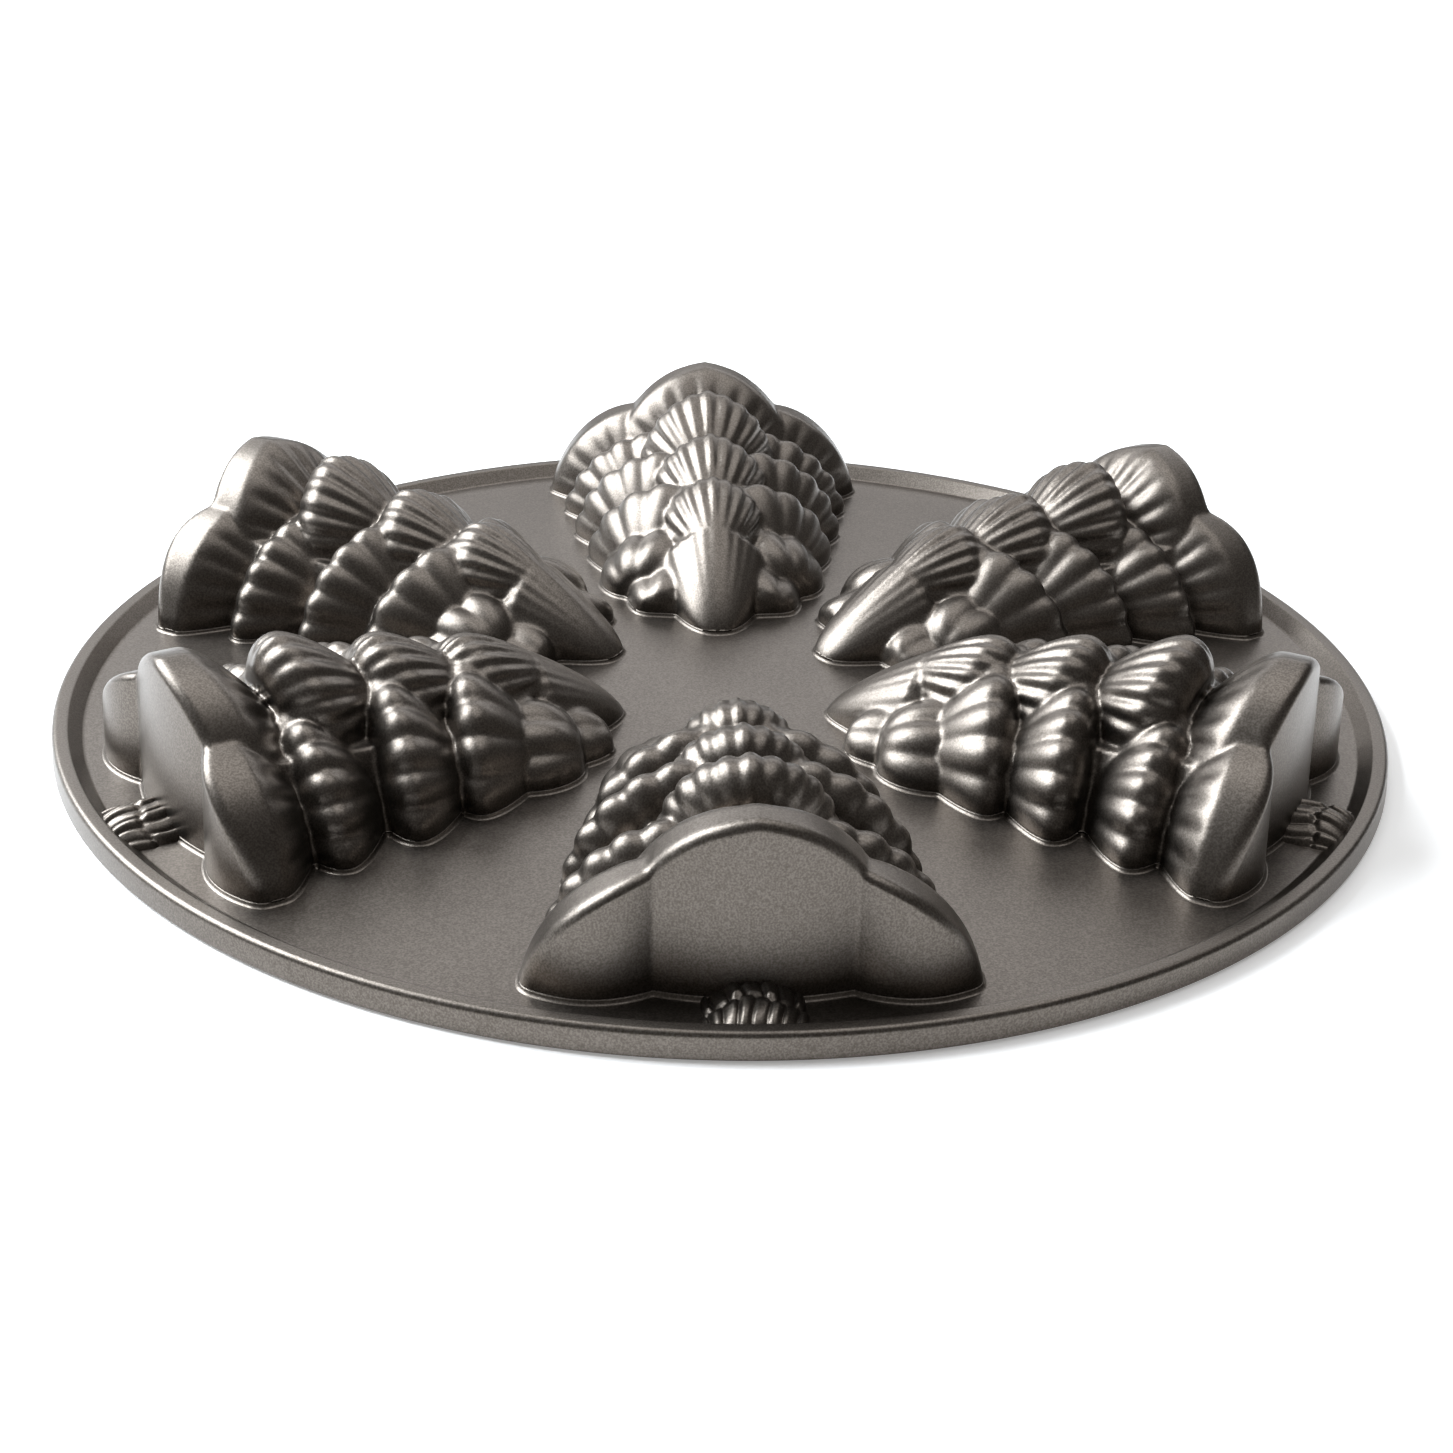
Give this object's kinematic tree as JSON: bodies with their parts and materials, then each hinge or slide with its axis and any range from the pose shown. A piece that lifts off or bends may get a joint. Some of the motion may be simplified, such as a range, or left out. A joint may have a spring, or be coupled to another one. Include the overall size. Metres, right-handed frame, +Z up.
{
  "type": "cakelet pan",
  "caption": "Round cast pan with hollow fir-tree moulds standing on a flat deck, shown cups upwards.",
  "frame": {"origin": "pan's axis at the height of the deck's flat face, which lies on the ground", "axes": "+Z up, from the deck's flat face towards the tops of the tree cups; +Y along one tree's axis, from its tip to its trunk"},
  "size_m": [0.292, 0.292, 0.037],
  "materials": {
    "casting": "satin metallic nonstick coat over cast aluminium"
  },
  "bodies": {
    "root": {"deck": "casting", "rim": "casting", "tree_cup_1": "casting", "tree_cup_2": "casting", "tree_cup_3": "casting", "tree_cup_4": "casting", "tree_cup_5": "casting", "tree_cup_6": "casting", "trunk_1": "casting", "trunk_2": "casting", "trunk_3": "casting", "trunk_4": "casting", "trunk_5": "casting", "trunk_6": "casting"}
  },
  "joints": []
}
